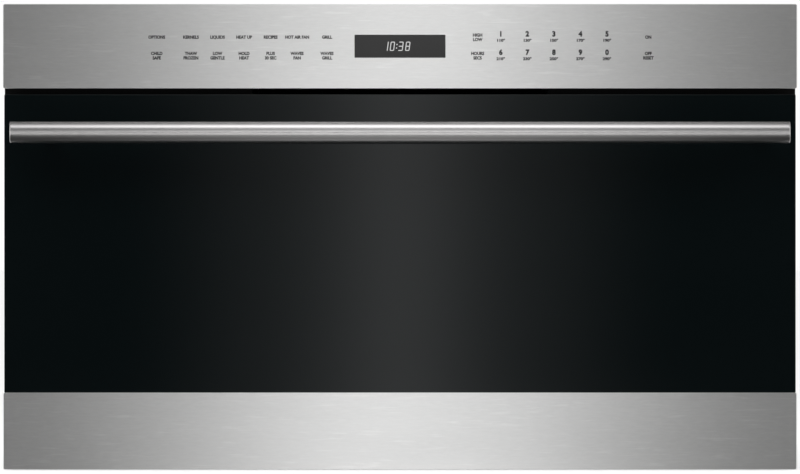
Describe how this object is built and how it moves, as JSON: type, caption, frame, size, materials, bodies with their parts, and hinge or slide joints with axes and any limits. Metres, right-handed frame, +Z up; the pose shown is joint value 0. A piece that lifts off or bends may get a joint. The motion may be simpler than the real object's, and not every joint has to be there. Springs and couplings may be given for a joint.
{
  "type": "speed oven",
  "caption": "Built-in combination microwave and convection oven: touch-control fascia above a drop-down black glass door with a full-width bar handle, turntable inside.",
  "frame": {"origin": "middle of the bounding box's footprint, on the floor plane under the skids", "axes": "+Z up, front (door and fascia) towards -Y, +X to the viewer's right when facing the front"},
  "size_m": [0.759, 0.6154, 0.4455],
  "materials": {
    "stainless_fascia": "brushed along the width",
    "stainless_handle": "fine brushed",
    "stainless_cavity": "satin",
    "galvanised_steel": "galvanised, satin",
    "black_enamel": "gloss enamel",
    "black_glass": "gloss, black-coated",
    "clear_glass": "clear",
    "display_lens": "smoked, semi-gloss",
    "circuit_board": "solder mask",
    "dark_plastic": "matte",
    "white_plastic": "heat-proof, matte",
    "red_plastic": "smooth",
    "heater_tube": "oxidised sheath",
    "copper": "enamelled winding wire",
    "core_steel": "laminated",
    "motor_steel": "plated",
    "aluminium": "plain",
    "mineral_wool": "fibrous",
    "mica": "pressed sheet",
    "seal_rubber": "matte",
    "plated_steel": "zinc-plated"
  },
  "bodies": {
    "chassis": {"base_pan": "galvanised_steel", "outer_wrap": "galvanised_steel", "rear_panel": "galvanised_steel", "front_frame": "black_enamel", "cavity_box": "stainless_cavity", "fan_baffle": "stainless_cavity", "convection_housing": "galvanised_steel", "ring_heater": "heater_tube", "convection_motor": "motor_steel", "broil_element": "heater_tube", "insulation_wrap": "mineral_wool", "waveguide": "galvanised_steel", "waveguide_cover": "mica", "magnetron": "aluminium", "fan_shroud": "galvanised_steel", "fan_motor": "motor_steel", "transformer_core": "core_steel", "transformer_coils": "copper", "hv_capacitor": "aluminium", "lamp_housing": "galvanised_steel", "turntable_motor": "plated_steel", "fascia_panel": "stainless_fascia", "display_window": "display_lens", "touch_board": "circuit_board", "control_board": "circuit_board", "panel_carrier": "dark_plastic", "power_board": "circuit_board", "noise_filter": "circuit_board", "terminal_block": "white_plastic", "cable_gland": "dark_plastic", "blower_housing": "galvanised_steel", "blower_motor": "motor_steel", "air_duct": "galvanised_steel", "latch_blocks": "white_plastic", "interlock_switches": "dark_plastic", "hinge_brackets": "plated_steel", "hinge_pins": "plated_steel", "hinge_springs": "plated_steel", "door_seal": "seal_rubber", "case_screws": "plated_steel"},
    "door": {"door_glass": "black_glass", "door_strip": "stainless_fascia", "door_frame": "black_enamel", "door_inner_panel": "black_enamel", "inner_glass": "clear_glass", "window_screen": "black_enamel", "handle_tube": "stainless_handle", "handle_posts": "stainless_handle", "hinge_arms": "plated_steel"},
    "latch": {"latch_bar": "white_plastic"},
    "turntable": {"glass_tray": "clear_glass", "turntable_hub": "white_plastic"},
    "roller_ring": {"roller_ring": "white_plastic"},
    "roller_1": {"roller_1": "white_plastic"},
    "roller_2": {"roller_2": "white_plastic"},
    "roller_3": {"roller_3": "white_plastic"},
    "convection_fan": {"convection_fan": "plated_steel"},
    "magnetron_fan": {"magnetron_fan": "dark_plastic"},
    "blower": {"blower_wheel": "dark_plastic"},
    "plungers": {"switch_plungers": "red_plastic"}
  },
  "joints": [
    {"name": "door_hinge", "type": "hinge", "parent": "chassis", "child": "door", "pos_m": [0, -0.24275, 0.0125], "axis": [1, 0, 0], "range_deg": [0, 90], "stiffness_Nm_per_rad": 6, "springref_deg": -28.65},
    {"name": "latch_lift", "type": "hinge", "parent": "door", "child": "latch", "pos_m": [0, -0.23975, 0.34], "axis": [1, 0, 0], "range_deg": [0, 6], "stiffness_Nm_per_rad": 0.4, "springref_deg": -17.19},
    {"name": "tray_spin", "type": "hinge", "parent": "chassis", "child": "turntable", "pos_m": [0, -0.02425, 0.1], "axis": [0, 0, 1], "continuous": true},
    {"name": "ring_spin", "type": "hinge", "parent": "chassis", "child": "roller_ring", "pos_m": [0, -0.02425, 0.09225], "axis": [0, 0, 1], "continuous": true},
    {"name": "roller_1_spin", "type": "hinge", "parent": "roller_ring", "child": "roller_1", "pos_m": [0.115, -0.02425, 0.09225], "axis": [1, 0, 0], "continuous": true},
    {"name": "roller_2_spin", "type": "hinge", "parent": "roller_ring", "child": "roller_2", "pos_m": [-0.0575, 0.07534, 0.09225], "axis": [-0.5, 0.866, 0], "continuous": true},
    {"name": "roller_3_spin", "type": "hinge", "parent": "roller_ring", "child": "roller_3", "pos_m": [-0.0575, -0.12384, 0.09225], "axis": [-0.5, -0.866, 0], "continuous": true},
    {"name": "convection_fan_spin", "type": "hinge", "parent": "chassis", "child": "convection_fan", "pos_m": [0, 0.19675, 0.2015], "axis": [0, 1, 0], "continuous": true},
    {"name": "magnetron_fan_spin", "type": "hinge", "parent": "chassis", "child": "magnetron_fan", "pos_m": [0.2925, 0.11525, 0.232], "axis": [0, 1, 0], "continuous": true},
    {"name": "blower_spin", "type": "hinge", "parent": "chassis", "child": "blower", "pos_m": [0, 0.11625, 0.377], "axis": [1, 0, 0], "continuous": true},
    {"name": "plunger_press", "type": "slide", "parent": "chassis", "child": "plungers", "axis": [0, 1, 0], "range_m": [0, 0.0015], "stiffness_N_per_m": 300}
  ],
  "couplings": [
    {"joint": "ring_spin", "follows": "tray_spin", "ratio": 0.5},
    {"joint": "roller_1_spin", "follows": "tray_spin", "ratio": -7.1875},
    {"joint": "roller_2_spin", "follows": "tray_spin", "ratio": -7.1875},
    {"joint": "roller_3_spin", "follows": "tray_spin", "ratio": -7.1875}
  ]
}
